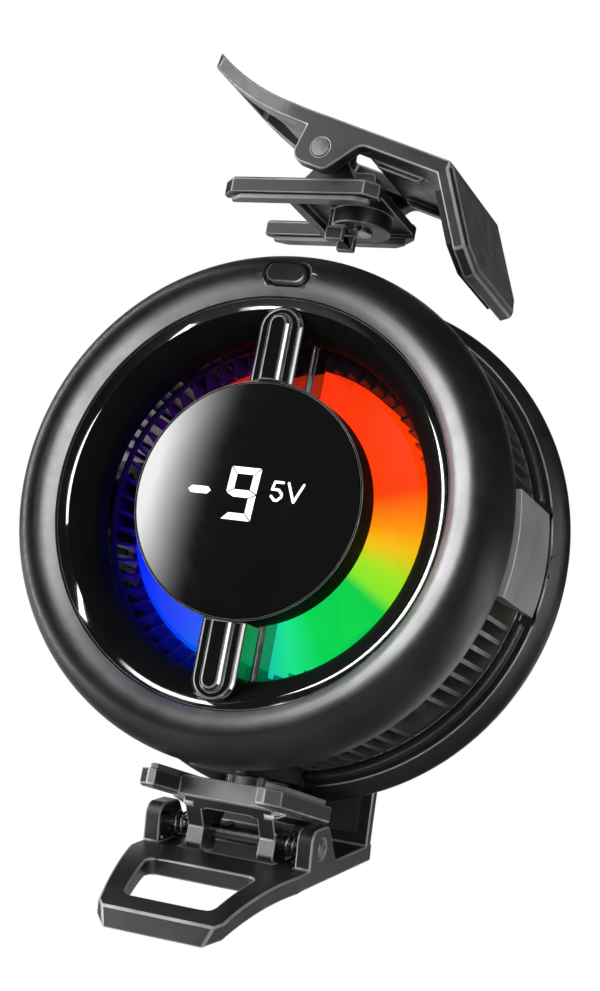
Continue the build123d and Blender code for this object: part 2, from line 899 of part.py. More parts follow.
def screw(tip, under_head):
    """Screw along the fan axis, head towards +Y, with a hexagon recess."""
    head_end = under_head + screw_head_t
    body = plate_y(Circle(screw_r), tip, under_head) + plate_y(Circle(screw_head_r), under_head, head_end)
    return body - plate_y(RegularPolygon(hex_r, 6), head_end - hex_deep, head_end + cut_over)


def case_screws():
    one = Pos(screw_circle_r, 0, 0) * screw(case_screw_end(), rear_face_y - screw_head_t)
    return Compound(children=[around(way) * one for way in spread(screw_count, screw_first)])


def frame_screws():
    one = Pos(post_circle_r, 0, 0) * mirror(screw(-frame_screw_end(), -flange_front_y), Plane.XZ)
    return Compound(children=[around(way) * one for way in spread(screw_count, screw_first)])


def clip_socket():
    floor = socket_floor_z - socket_floor_t
    cup = plate_z(Circle(socket_r), floor, socket_top_z)
    cup -= plate_z(Circle(socket_bore_r), socket_floor_z, socket_top_z + cut_over)
    return Pos(0, socket_y, 0) * cup


def release_outline(wider, grow):
    """Outline of a release button, lengthened by its flange and grown by a clearance."""
    return SlotOverall(release_w + 2 * wider + 2 * grow, release_h + 2 * grow)


def release_button():
    low = release_top_z - release_deep
    cap = plate_z(release_outline(0, 0), low, release_top_z)
    cap = fillet(cap.faces().sort_by(Axis.Z)[-1].edges(), button_round)
    cap += plate_z(release_outline(release_flange, 0), low, low + release_flange_t)
    return Pos(0, release_y, 0) * cap


def bar_band(longer, top_shift, thickness):
    """Slanting side view of a bar, from its outer face shifted inwards."""
    end = bar_front_u - longer
    front = bar_front_w - top_shift
    back = bar_back_w - top_shift
    return outline((end, front), (bar_back_u, back), (bar_back_u, back - thickness), (end, front - thickness))


def bar_plan(longer, half_inset, end_inset):
    """Plan of a bar with its outer corners cut."""
    x0 = bar_in_x + half_inset
    x1 = bar_out_x - half_inset
    u0 = bar_front_u - longer + end_inset
    u1 = bar_back_u - end_inset
    cut = x1 - bar_chamfer + end_inset / 2
    return outline((x0, u0), (cut, u0), (x1, u0 + bar_chamfer), (x1, u1 - bar_chamfer), (cut, u1), (x0, u1))


def clip_bar(longer):
    bar = plate_x(bar_band(longer, 0, bar_t), 0, lever_half)
    bar &= plate_z(bar_plan(longer, 0, 0), tab_end_w, lever_face)
    return chamfer(bar.faces().sort_by(Axis.Z)[-1].edges(), bar_edge)


def lug_face():
    """Side view of a lug, a rounded block on a flaring leg."""
    lug = outline((-lug_half, 0), (-lug_half, lug_top_w), (lug_half, lug_top_w), (lug_half, 0))
    lug = fillet(lug.vertices().sort_by(Axis.Y)[-2:], lug_round)
    return lug + outline((lug_front_u, saddle_w), (-lug_half, 0), (lug_half, 0), (lug_back_u, saddle_w))


def arch_plate():
    """Front plate between the lugs, open below in a round-cornered arch."""
    plate = Rectangle(2 * lug_out_x, -saddle_w)
    opening = RectangleRounded(2 * lug_x, -2 * saddle_w - 2 * arch_t, arch_round)
    face = Pos(0, saddle_w / 2) * plate - opening
    slab = plate_y(face, lug_front_u, lug_front_u + arch_t)
    return slab & plate_x(lug_face(), -lug_out_x, lug_out_x)


def clip_base(longer):
    bars = clip_bar(longer)
    side = plate_x(lug_face(), lug_x, lug_out_x)
    web = outline((lug_out_x - web_t, web_out_w), (lug_out_x, web_out_w), (bar_in_x + web_t, bar_back_w),
                  (bar_in_x + web_t, saddle_w - web_t), (lug_out_x - web_t, saddle_w))
    side += plate_y(web, web_front_u, web_back_u)
    half = bars + side
    base = half + mirror(half, Plane.YZ)
    inner = bar_in_x + web_t / 2
    base += block(-inner, inner, saddle_front_u, bar_back_u, saddle_w - saddle_t, saddle_w)
    base += block(-bar_in_x, bar_in_x, saddle_front_u, saddle_front_u + saddle_lip_t,
                  saddle_w - saddle_lip_deep, saddle_w)
    base += arch_plate()
    base += clip_foot()
    base -= plate_x(Circle(pin_r + pin_fit), -lever_half, lever_half)
    return base - Pos(0, plug_u, 0) * stud_shape(seat_gap)


def clip_foot():
    """Round collar with two snap tabs, which go into the socket."""
    top = saddle_w - saddle_t
    foot = plate_z(Circle(collar_r), top - collar_deep, top)
    front = tab_u - tab_w / 2
    back = tab_u + tab_w / 2
    tab = block(tab_x, tab_x + tab_t, front, back, tab_end_w, top)
    tab += block(tab_x, tab_x + tab_t + tab_hook, front, back, tab_end_w, tab_end_w + tab_hook_t)
    return Pos(0, plug_u, 0) * (foot + tab + mirror(tab, Plane.YZ))


def stud_shape(grow):
    """Round stud that the clip turns on, with its head on the saddle."""
    top = saddle_w + grow
    stud = plate_z(Circle(stud_r + grow), top - stud_deep - 2 * grow, top)
    return stud + plate_z(Circle(stud_head_r + grow), top - stud_head_t - 2 * grow, top)


def clip_stud():
    return Pos(0, plug_u, 0) * stud_shape(0)


def grip_strips(longer):
    """Soft strips under the bars."""
    inset = (bar_w - strip_w) / 2
    band = plate_x(bar_band(longer, bar_t + seat_gap, strip_t), 0, lever_half)
    strip = band & plate_z(bar_plan(longer, inset, strip_inset), tab_end_w, lever_face)
    return Compound(children=[strip, mirror(strip, Plane.YZ)])


def lever_profile(longer):
    """Side view of the finger plate and arm, in (a, n)."""
    top = lever_face
    low = lever_face - lever_t
    tip = (lever_tip_a - longer, lever_tip_n)
    under = (lever_tip_a - longer + lever_tip_cut / 2, lever_tip_n - lever_tip_t)
    return make_face(Curve() + [
        Line((lever_bend_a, top), (lever_straight_a, top)),
        TangentArc((lever_straight_a, top), tip, tangent=(-1, 0)),
        Line(tip, under),
        TangentArc((lever_straight_a, low), under, tangent=(-1, 0)),
        Line((lever_straight_a, low), (lever_bend_a, low)),
        Line((lever_bend_a, low), (lever_bend_a, top))])


def lever_plan(longer):
    """Plan of the lever with its tapered finger end."""
    end = lever_tip_a - longer
    right = [(lever_half, lever_bend_a), (lever_half, lever_taper_a), (lever_tip_half, end + lever_tip_cut),
             (lever_tip_half - lever_tip_cut, end)]
    return outline(*right, *[(-x, a) for x, a in reversed(right)])


def finger_hole(longer):
    """Opening for a fingertip, cut right through."""
    front = hole_front_a - longer
    corners = outline((hole_front_half, front), (hole_back_half, hole_back_a),
                      (-hole_back_half, hole_back_a), (-hole_front_half, front))
    rounded = fillet(corners.vertices(), hole_round)
    return plate_z(rounded, 0, lever_tip_n + cut_over)


def jaw_plane(bend, inset):
    """Plane of the jaw plate, local x across, local -y away from the bend and local z inwards."""
    inwards = (0, -sin(radians(bend)), -cos(radians(bend)))
    corner = (0, lever_bend_a + inset * inwards[1], lever_face + inset * inwards[2])
    return Plane(origin=corner, x_dir=(1, 0, 0), z_dir=inwards)


def jaw_plan(inset):
    half = lever_half - inset
    end = inset - jaw_len
    cut = end + jaw_cut
    return outline((half, -inset), (half, cut), (half - jaw_cut, end), (jaw_cut - half, end), (-half, cut),
                   (-half, -inset))


def jaw_plate(bend):
    plate = extrude(jaw_plan(0), lever_t)
    rim = plate.faces().sort_by(Axis.Z)[0].edges().sort_by(Axis.Y)[:-1]
    plate = chamfer(rim, jaw_bevel)
    return jaw_plane(bend, 0) * plate


def ear_face():
    """Side view of an ear, with a round where its back edge meets the arm."""
    root = lever_face - lever_t
    middle = lever_face - lever_t / 2
    ear = outline((ear_front_a, ear_low_n), (ear_front_a, middle), (ear_back_a, middle),
                  (ear_low_a, ear_low_n))
    ear = fillet(ear.vertices().sort_by(Axis.Y)[:2], ear_round)
    arm_end = ear_back_a + 2 * ear_root_round
    face = ear + outline((ear_front_a, root), (ear_front_a, middle), (arm_end, middle), (arm_end, root))
    corner = face.vertices().sort_by_distance(Vector(ear_back_a, root))[0]
    return fillet(corner, ear_root_round)


def clip_lever(bend, longer):
    body = plate_x(lever_profile(longer), -lever_half, lever_half)
    body &= plate_z(lever_plan(longer), 0, lever_tip_n + cut_over)
    body -= finger_hole(longer)
    body -= block(-slot_half, slot_half, slot_front_a, slot_back_a, 0, lever_tip_n)
    ear = plate_x(ear_face(), ear_in_x, lever_half)
    body += ear + mirror(ear, Plane.YZ)
    wedge_fill = lever_t * tan(radians(bend / 2))
    along = (cos(radians(bend)), -sin(radians(bend)))
    inner = (lever_bend_a - lever_t * sin(radians(bend)), lever_face - lever_t * cos(radians(bend)))
    corner = (inner[0] + wedge_fill * along[0], inner[1] + wedge_fill * along[1])
    knee = outline((lever_bend_a, lever_face), corner, (lever_bend_a - lever_t, lever_face - lever_t),
                   (lever_bend_a - lever_t, lever_face))
    body -= bend_trim(bend)
    body += plate_x(knee, -lever_half, lever_half) + jaw_plate(bend)
    for side in (-1, 1):
        body += plate_x(rib_outline(), side * slot_half - rib_w / 2, side * slot_half + rib_w / 2)
    return body - pin_shape(seat_gap)


def bend_trim(bend):
    """Wedge of the arm's end that the slanting jaw plate leaves free."""
    over = lever_t * cos(radians(bend)) / sin(radians(bend))
    low = lever_face - lever_t
    end = lever_bend_a + cut_over
    wedge = outline((lever_bend_a, lever_face), (end, lever_face), (end, low), (lever_bend_a + over, low))
    return plate_x(wedge, -lever_half - cut_over, lever_half + cut_over)


def rib_outline():
    """Stiffening rib under the arm."""
    low = lever_face - lever_t
    end = lever_bend_a - 2 * lever_t
    start = slot_back_a + rib_w
    middle = lever_face - lever_t / 2
    return outline((start, low), (start + rib_deep, low - rib_deep), (end - rib_deep, low - rib_deep),
                   (end, low), (end, middle), (start, middle))


def pin_shape(grow):
    """Hinge pin with a flat head in each ear."""
    pin = plate_x(Circle(pin_r + grow), -lever_half, lever_half)
    head = plate_x(Circle(pin_head_r + grow), lever_half - pin_head_t - grow, lever_half + grow)
    return pin + head + mirror(head, Plane.YZ)


def jaw_pad(bend):
    """Soft pad on the inner face of the jaw plate."""
    plane = jaw_plane(bend, lever_t + seat_gap)
    inset = jaw_pad_inset
    knee = Rectangle(2 * lever_half, 2 * lever_t * tan(radians(bend / 2)))
    pad = extrude(jaw_plan(inset) - Pos(0, -inset) * knee, jaw_pad_t)
    return plane * pad


def biarc(start, start_way, end, end_way):
    """Two arcs that join two points and share a tangent where they meet."""
    reach = end - start
    both = start_way + end_way
    turn = start_way.dot(end_way) - 1
    middle = reach.dot(both)
    arm = (middle - sqrt(middle ** 2 - 2 * turn * reach.dot(reach))) / (2 * turn)
    knot = (start + start_way * arm + end - end_way * arm) * 0.5
    first = corner_arc(start, start + start_way * arm, knot, arm)
    return [first, corner_arc(knot, end - end_way * arm, end, arm)]


def corner_arc(start, corner, end, arm):
    """Arc that is tangent to both sides of a corner."""
    chord = (start + end) * 0.5
    share = (chord - start).length / arm
    return ThreePointArc(start, chord + (corner - chord) * (share / (1 + share)), end)


def coil_point(turn, first_x, first_angle):
    """Point and direction on the coil after some turns."""
    angle = radians(first_angle) + 2 * pi * turn
    place = Vector(first_x + spring_pitch * turn, spring_r * cos(angle), spring_r * sin(angle))
    way = Vector(spring_pitch / (2 * pi), -spring_r * sin(angle), spring_r * cos(angle)).normalized()
    return place, way


def spring_path():
    """Straight leg, coil in quarter turns and straight leg."""
    length = spring_pitch * spring_turns
    first_x = (lug_out_x + ear_in_x - length) / 2
    steps = ceil(4 * spring_turns)
    points = [coil_point(index / 4, first_x, -quarter_turn) for index in range(steps + 1)]
    place, way = points[0]
    lines = [Line(place - way * spring_leg, place)]
    for (here, way_in), (there, way_out) in zip(points, points[1:]):
        lines += biarc(here, way_in, there, way_out)
    place, way = points[-1]
    lines.append(Line(place, place + way * spring_leg))
    return lines


def least_gap(points, reach):
    """Smallest gap of a tube to itself, skipping points that lie near along it."""
    best = None
    for index, here in enumerate(points):
        for there in points[index + reach:]:
            gap = dist(here, there) - 2 * spring_wire_r
            if best is None or gap < best:
                best = gap
    return best


def torsion_springs():
    lines = spring_path()
    path = Wire(lines)
    start = lines[0]
    section = Plane(origin=start @ 0, z_dir=start % 0) * Circle(spring_wire_r)
    spring = sweep(section, path=path)
    samples = [tuple(line @ (index / spring_samples)) for line in lines for index in range(spring_samples)]
    print("spring gap to itself", round(least_gap(samples, spring_near), 3))
    return Compound(children=[spring, mirror(spring, Plane.YZ)])


def clip_parts(slope, bend, longer):
    """All pieces of one clip, docked at the top, in the frame of its pin."""
    tilt = Rot(-slope, 0, 0)
    return {
        "clip_base": clip_base(longer),
        "clip_stud": clip_stud(),
        "grip_strips": grip_strips(longer),
        "clip_lever": tilt * clip_lever(bend, longer),
        "hinge_pin": tilt * pin_shape(0),
        "torsion_springs": tilt * torsion_springs(),
        "jaw_pad": tilt * jaw_pad(bend)}


def upper_place():
    """The upper clip is lifted off its socket and turned a quarter."""
    return Pos(0, socket_y, lift_height) * Rot(0, 0, lift_turn) * Pos(0, pin_y - socket_y, pin_z)


def upper_clip():
    place = upper_place()
    pieces = clip_parts(upper_slope, upper_bend, upper_longer)
    return {"upper_" + name: place * piece for name, piece in pieces.items()}


def lower_clip():
    place = Pos(0, pin_y, -pin_z)
    pieces = clip_parts(lower_slope, lower_bend, lower_longer)
    return {"lower_" + name: place * mirror(piece, Plane.XY) for name, piece in pieces.items()}


def body_parts():
    arm = bridge_arm()
    socket = clip_socket()
    release = release_button()
    return {
        "front_ring": front_ring(),
        "bezel_bowl": bezel_bowl(),
        "bridge_arm_upper": arm,
        "bridge_arm_lower": mirror(arm, Plane.XY),
        "display_pod": display_pod(),
        "display_lens": display_lens(),
        "digit_segments": digit_segments(),
        "digit_frame": digit_frame(),
        "display_board": display_board(),
        "power_button": power_button(),
        "button_switch": button_switch(),
        "button_board": button_board(),
        "fan_shroud": fan_shroud(),
        "impeller_hub": impeller_hub(),
        "impeller_blades": impeller_blades(),
        "rotor_yoke": rotor_yoke(),
        "rotor_magnet": rotor_magnet(),
        "motor_shaft": motor_shaft(),
        "motor_bearings": motor_bearings(),
        "bearing_tube": bearing_tube(),
        "stator_core": stator_core(),
        "stator_coils": stator_coils(),
        "lamp_board": lamp_board(),
        "lamp_chips": lamp_chips(),
        "heatsink": heatsink(),
        "side_panel_right": side_panel(0),
        "side_panel_left": side_panel_left(),
        "usb_c_port": usb_c_port(),
        "power_board": power_board(),
        "trim_bead": trim_bead(),
        "rear_cover": rear_cover(),
        "foam_gasket": foam_gasket(),
        "peltier_hot_plate": square_plate(module_w, sink_back_y, hot_back_y),
        "peltier_pellets": peltier_pellets(),
        "peltier_cold_plate": square_plate(module_w, pellet_back_y, module_back_y),
        "cold_plate": cold_plate(),
        "thermal_pad": ring(0, pad_r, face_y - pad_t, face_y),
        "case_screws": case_screws(),
        "frame_screws": frame_screws(),
        "clip_socket_upper": socket,
        "clip_socket_lower": mirror(socket, Plane.XY),
        "release_button_upper": release,
        "release_button_lower": mirror(release, Plane.XY)}


def main():
    os.makedirs("parts", exist_ok=True)
    nodes = body_parts()
    nodes.update(upper_clip())
    nodes.update(lower_clip())
    for name, solid in nodes.items():
        export_step(Pos(0, -face_y, 0) * solid, f"parts/{name}.step")
    print(len(nodes), "nodes")


main()
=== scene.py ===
import bpy, bmesh, json, math
from mathutils import Matrix, Vector


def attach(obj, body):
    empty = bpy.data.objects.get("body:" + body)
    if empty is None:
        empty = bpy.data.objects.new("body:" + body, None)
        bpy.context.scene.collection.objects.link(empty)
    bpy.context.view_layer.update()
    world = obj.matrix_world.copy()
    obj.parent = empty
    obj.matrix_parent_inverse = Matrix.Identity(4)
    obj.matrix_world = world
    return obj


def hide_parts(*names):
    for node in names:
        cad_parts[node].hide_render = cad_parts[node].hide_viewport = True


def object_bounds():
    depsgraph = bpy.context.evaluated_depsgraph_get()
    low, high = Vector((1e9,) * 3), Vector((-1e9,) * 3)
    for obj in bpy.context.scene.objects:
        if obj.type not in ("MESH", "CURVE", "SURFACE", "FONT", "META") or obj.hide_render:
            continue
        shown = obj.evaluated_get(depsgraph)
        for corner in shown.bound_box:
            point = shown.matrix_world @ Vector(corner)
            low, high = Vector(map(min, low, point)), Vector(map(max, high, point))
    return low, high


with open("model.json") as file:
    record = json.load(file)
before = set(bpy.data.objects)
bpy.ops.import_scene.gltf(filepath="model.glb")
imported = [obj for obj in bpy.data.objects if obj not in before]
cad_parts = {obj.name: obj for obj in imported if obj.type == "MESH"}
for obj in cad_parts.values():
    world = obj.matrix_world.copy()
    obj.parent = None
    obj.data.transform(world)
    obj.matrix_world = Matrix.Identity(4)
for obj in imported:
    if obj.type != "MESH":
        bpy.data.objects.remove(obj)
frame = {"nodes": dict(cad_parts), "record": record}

nodes = frame["nodes"]
bodies = frame["record"]["behaviour"]["bodies"]
nodeBody = {name: body for body, members in bodies.items() for name in members}
cadLow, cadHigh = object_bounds()
print("cad loaded:", len(nodes), "nodes")

mm = 0.001


# camera, set from the photograph's own perspective
camera = {"place": (0.09914, -0.24471, -0.04084), "right": (0.9159, 0.3574, 0.1827),
          "up": (-0.1018, -0.2335, 0.967), "back": (0.3883, -0.9043, -0.1775), "lens": 70.0,
          "sensor": 36, "near": 0.01, "far": 20}


def makeCamera():
    data = bpy.data.cameras.new("photoCamera")
    data.lens = camera["lens"]
    data.sensor_width = camera["sensor"]
    data.clip_start, data.clip_end = camera["near"], camera["far"]
    eye = bpy.data.objects.new("photoCamera", data)
    bpy.context.scene.collection.objects.link(eye)
    turn = Matrix((camera["right"], camera["up"], camera["back"])).transposed()
    eye.matrix_world = Matrix.Translation(camera["place"]) @ turn.to_4x4()
    bpy.context.scene.camera = eye
    bpy.context.scene.view_settings.view_transform = "Standard"


makeCamera()
print("camera placed")


# studio: pale floor, pale surroundings and soft boxes
studio = {"floorColour": (0.2, 0.2, 0.2, 1), "floorGap": 0.32, "floorSize": 8.0, "floorGlow": 0.98,
          "fill": 0.10, "flag": 0.03, "behind": 1.0, "card": (0.86, 0.95), "floorCard": (0.3, 2.0),
          "fade": 0.30, "sky": (0.9, 0.95, 1.0, 1)}
satin = ("front_ring", "power_button")
# turn from straight ahead towards +X, rise, width and height in degrees, metres away, radiance; fade is
# the share of the width that dims, curve how fast it does, and lights or spares name single pieces
softBoxes = [
    dict(name="leftBox", turn=-43, rise=14, away=0.60, wide=30, tall=62, light=4.6, curve=2.2, spares=satin),
    dict(name="rightStrip", turn=36, rise=0, away=0.60, wide=6, tall=44, light=8.0, spares=satin),
    dict(name="rightLine", turn=62, rise=0, away=0.60, wide=4, tall=50, light=8.0, spares=satin),
    dict(name="upperRightStrip", turn=22, rise=42, away=0.60, wide=16, tall=4, light=8.0, spares=satin),
    dict(name="topStrip", turn=-25, rise=56, away=0.60, wide=26, tall=4, light=8.0, spares=satin),
    dict(name="lowRightStrip", turn=14, rise=-38, away=0.45, wide=18, tall=4, light=8.0, spares=satin),
    dict(name="lowStrip", turn=-26, rise=-42, away=0.42, wide=18, tall=4, light=8.0, spares=satin),
    dict(name="farLeftStrip", turn=-80, rise=4, away=0.60, wide=5, tall=90, light=10),
    dict(name="farRightStrip", turn=85, rise=10, away=0.60, wide=6, tall=40, light=4.0, spares=satin),
    dict(name="lugGlow", turn=-22, rise=-12, away=0.40, wide=44, tall=44, light=3.6, fade=0.35,
         lights=("lower_clip_base",)),
]
softBalls = [dict(name="ringGlow", place=(16, -45, 2), radius=28, light=3.4, lights=satin)]  # mm, radiance


def linkNew(tree, source, target):
    tree.links.new(source, target)


def joined(tree, operation, first, second):
    both = tree.nodes.new("ShaderNodeMath")
    both.operation = operation
    linkNew(tree, first, both.inputs[0])
    linkNew(tree, second, both.inputs[1])
    return both.outputs[0]


def mirrored(tree, rays):
    return joined(tree, "MAXIMUM", rays.outputs["Is Glossy Ray"], rays.outputs["Is Transmission Ray"])


def backdropShare(tree, rays, depth, near, far):
    fade = tree.nodes.new("ShaderNodeMapRange")
    fade.interpolation_type = "SMOOTHSTEP"
    for socket, value in (("From Min", near), ("From Max", far), ("To Min", 0), ("To Max", 1)):
        fade.inputs[socket].default_value = value
    linkNew(tree, depth, fade.inputs["Value"])
    shown = joined(tree, "MULTIPLY", mirrored(tree, rays), fade.outputs["Result"])
    return joined(tree, "MAXIMUM", rays.outputs["Is Camera Ray"], shown)


def makeWorld():
    world = bpy.data.worlds.new("studioWorld")
    bpy.context.scene.world = world
    world.use_nodes = True
    tree = world.node_tree
    plain = tree.nodes["Background"]
    plain.inputs["Color"].default_value = studio["sky"]
    plain.inputs["Strength"].default_value = studio["fill"]
    white = tree.nodes.new("ShaderNodeBackground")
    white.inputs["Color"].default_value = (1, 1, 1, 1)
    white.inputs["Strength"].default_value = studio["behind"]
    # reflections see a white card behind the object, and dark flags elsewhere
    way = tree.nodes.new("ShaderNodeTexCoord")
    ahead = tree.nodes.new("ShaderNodeVectorMath")
    ahead.operation = "DOT_PRODUCT"
    ahead.inputs[1].default_value = [-part for part in camera["back"]]
    linkNew(tree, way.outputs["Generated"], ahead.inputs[0])
    rays = tree.nodes.new("ShaderNodeLightPath")
    seen = backdropShare(tree, rays, ahead.outputs["Value"], *studio["card"])
    flag = tree.nodes.new("ShaderNodeBackground")
    flag.inputs["Strength"].default_value = studio["flag"]
    front = tree.nodes.new("ShaderNodeMixShader")
    linkNew(tree, mirrored(tree, rays), front.inputs[0])
    linkNew(tree, plain.outputs[0], front.inputs[1])
    linkNew(tree, flag.outputs[0], front.inputs[2])
    both = tree.nodes.new("ShaderNodeMixShader")
    linkNew(tree, seen, both.inputs[0])
    linkNew(tree, front.outputs[0], both.inputs[1])
    linkNew(tree, white.outputs[0], both.inputs[2])
    linkNew(tree, both.outputs[0], tree.nodes["World Output"].inputs["Surface"])


def makeFloor():
    mesh = bpy.data.meshes.new("studioFloor")
    reach, level = studio["floorSize"], cadLow.z - studio["floorGap"]
    corners = [(-reach, -reach, level), (reach, -reach, level), (reach, reach, level), (-reach, reach, level)]
    mesh.from_pydata(corners, [], [(0, 1, 2, 3)])
    floor = bpy.data.objects.new("studioFloor", mesh)
    bpy.context.scene.collection.objects.link(floor)
    paper = bpy.data.materials.new("paleFloor")
    paper.use_nodes = True
    tree = paper.node_tree
    tree.nodes.clear()
    matt = tree.nodes.new("ShaderNodeBsdfDiffuse")
    matt.inputs["Color"].default_value = studio["floorColour"]
    lit = tree.nodes.new("ShaderNodeEmission")
    lit.inputs["Strength"].default_value = studio["floorGlow"]
    rays = tree.nodes.new("ShaderNodeLightPath")
    place = tree.nodes.new("ShaderNodeNewGeometry").outputs["Position"]
    split = tree.nodes.new("ShaderNodeSeparateXYZ")
    linkNew(tree, place, split.inputs[0])
    more = backdropShare(tree, rays, split.outputs["Y"], *studio["floorCard"])
    dark = tree.nodes.new("ShaderNodeEmission")
    dark.inputs["Strength"].default_value = 0.0
    glow = tree.nodes.new("ShaderNodeMixShader")
    linkNew(tree, more, glow.inputs[0])
    linkNew(tree, dark.outputs[0], glow.inputs[1])
    linkNew(tree, lit.outputs[0], glow.inputs[2])
    total = tree.nodes.new("ShaderNodeAddShader")
    linkNew(tree, matt.outputs[0], total.inputs[0])
    linkNew(tree, glow.outputs[0], total.inputs[1])
    out = tree.nodes.new("ShaderNodeOutputMaterial")
    linkNew(tree, total.outputs[0], out.inputs["Surface"])
    mesh.materials.append(paper)


def aimed(turn, rise):
    across, level = math.radians(turn), math.radians(rise)
    return Vector((math.sin(across) * math.cos(level), -math.cos(across) * math.cos(level), math.sin(level)))


flagged = {}  # piece name: the flags that it belongs to


def makeSoftBox(look):
    data = bpy.data.lights.new(look["name"], "AREA")
    data.shape = "RECTANGLE"
    data.size = 2 * look["away"] * math.tan(math.radians(look["wide"] / 2))
    data.size_y = 2 * look["away"] * math.tan(math.radians(look["tall"] / 2))
    data.energy = look["light"] * math.pi * data.size * data.size_y
    data.use_nodes = True
    tree = data.node_tree
    spot = tree.nodes.new("ShaderNodeNewGeometry").outputs["Parametric"]
    split = tree.nodes.new("ShaderNodeSeparateXYZ")
    linkNew(tree, spot, split.inputs[0])
    fall = tree.nodes.new("ShaderNodeMapRange")  # the light falls off towards one side of the box
    whole = 1 - look.get("fade", studio["fade"])
    for socket, value in (("From Min", 1), ("From Max", whole), ("To Min", 0), ("To Max", 1)):
        fall.inputs[socket].default_value = value
    linkNew(tree, split.outputs["X"], fall.inputs["Value"])
    bent = tree.nodes.new("ShaderNodeMath")
    bent.operation = "POWER"
    bent.inputs[1].default_value = look.get("curve", 1)
    linkNew(tree, fall.outputs["Result"], bent.inputs[0])
    linkNew(tree, bent.outputs[0], tree.nodes["Emission"].inputs["Strength"])
    way = aimed(look["turn"], look["rise"])
    placeLamp(data, look, way * look["away"], way.to_track_quat("Z", "Y").to_euler())


def makeSoftBall(look):
    data = bpy.data.lights.new(look["name"], "POINT")
    data.shadow_soft_size = look["radius"] * mm
    data.energy = look["light"] * (2 * math.pi * data.shadow_soft_size) ** 2
    placeLamp(data, look, Vector(look["place"]) * mm, (0, 0, 0))


def placeLamp(data, look, place, turn):
    lamp = bpy.data.objects.new(look["name"], data)
    bpy.context.scene.collection.objects.link(lamp)
    lamp.location, lamp.rotation_euler = place, turn
    lamp.visible_camera = False
    # a flag limits the light to its pieces, or keeps them out of it
    for key, state in (("lights", "INCLUDE"), ("spares", "EXCLUDE")):
        if key in look:
            flag = bpy.data.collections.new(look["name"] + "Flag")
            lamp.light_linking.receiver_collection = flag
            for name in look[key]:
                flagged.setdefault(name, []).append((flag, state))


makeWorld()
makeFloor()
for look in softBoxes:
    makeSoftBox(look)
for look in softBalls:
    makeSoftBall(look)
print("studio lit")


# finishes
grains = {"cloud": (140, 5), "streak": (420, 6), "detail": 3, "coatRough": 0.03}  # noise scale, detail
plainBend = 1.5  # refraction of a finish that names none
mixFirst, mixSecond, mixOut = 6, 7, 2  # colour sockets of a mix node
# dark and light tone, metal, roughness low and high, grain per metre and its depth, coat, refraction
finishes = {
    "satin_dark_metal": dict(low=(0.20, 0.20, 0.203), high=(0.26, 0.26, 0.264),
                             metal=1.0, rough=(0.42, 0.48), grain=3200, depth=0.000006, coat=0.0),
    "satin_dark_plastic": dict(low=(0.008, 0.008, 0.0083), high=(0.014, 0.014, 0.0145),
                               metal=0.0, rough=(0.34, 0.44), grain=2600, depth=0.00001, coat=0.0, bend=1.8),
    "gloss_black": dict(low=(0.003, 0.003, 0.0032), high=(0.005, 0.005, 0.0055),
                        metal=0.0, rough=(0.05, 0.09), grain=900, depth=0.0000006, coat=1.0, bend=1.9),
    "matte_black": dict(low=(0.006, 0.006, 0.006), high=(0.014, 0.014, 0.014),
                        metal=0.0, rough=(0.55, 0.7), grain=2400, depth=0.00001, coat=0.0),
    "steel": dict(low=(0.30, 0.30, 0.31), high=(0.42, 0.42, 0.43),
                  metal=1.0, rough=(0.22, 0.36), grain=5000, depth=0.000003, coat=0.0),
    "bronze": dict(low=(0.36, 0.22, 0.10), high=(0.46, 0.30, 0.15),
                   metal=1.0, rough=(0.35, 0.5), grain=3000, depth=0.000005, coat=0.0),
    "copper": dict(low=(0.62, 0.24, 0.11), high=(0.78, 0.34, 0.17),
                   metal=1.0, rough=(0.28, 0.4), grain=4000, depth=0.00001, coat=0.2),
    "magnet": dict(low=(0.05, 0.05, 0.055), high=(0.09, 0.09, 0.095),
                   metal=0.2, rough=(0.5, 0.65), grain=2600, depth=0.000012, coat=0.0),
    "dark_aluminium": dict(low=(0.17, 0.17, 0.172), high=(0.25, 0.25, 0.253),
                           metal=0.7, rough=(0.28, 0.42), grain=3000, depth=0.000006, coat=0.0),
    "bare_aluminium": dict(low=(0.50, 0.51, 0.52), high=(0.64, 0.65, 0.66),
                           metal=1.0, rough=(0.25, 0.38), grain=4200, depth=0.000004, coat=0.0),
    "grey_metal": dict(low=(0.46, 0.46, 0.465), high=(0.58, 0.58, 0.59),
                       metal=0.2, rough=(0.32, 0.42), grain=3200, depth=0.000005, coat=0.0),
    "circuit_board": dict(low=(0.008, 0.05, 0.022), high=(0.014, 0.085, 0.036),
                          metal=0.0, rough=(0.3, 0.45), grain=1800, depth=0.000015, coat=0.2),
    "foam": dict(low=(0.015, 0.015, 0.016), high=(0.035, 0.035, 0.036),
                 metal=0.0, rough=(0.85, 0.95), grain=1500, depth=0.00006, coat=0.0),
    "white_ceramic": dict(low=(0.70, 0.69, 0.66), high=(0.80, 0.79, 0.76),
                          metal=0.0, rough=(0.4, 0.55), grain=2400, depth=0.000006, coat=0.0),
    "pellets": dict(low=(0.16, 0.16, 0.17), high=(0.26, 0.26, 0.27),
                    metal=0.9, rough=(0.35, 0.5), grain=2400, depth=0.000008, coat=0.0),
    "soft_pad": dict(low=(0.020, 0.020, 0.022), high=(0.034, 0.034, 0.036),
                     metal=0.0, rough=(0.6, 0.75), grain=2200, depth=0.00002, coat=0.0),
    "flat_black": dict(low=(0.002, 0.002, 0.002), high=(0.004, 0.004, 0.004),
                       metal=0.0, rough=(0.6, 0.75), grain=1800, depth=0.000004, coat=0.0, bend=1.2),
    "silver_strip": dict(low=(0.24, 0.24, 0.25), high=(0.36, 0.36, 0.37),
                         metal=0.5, rough=(0.35, 0.5), grain=2600, depth=0.00001, coat=0.0),
}


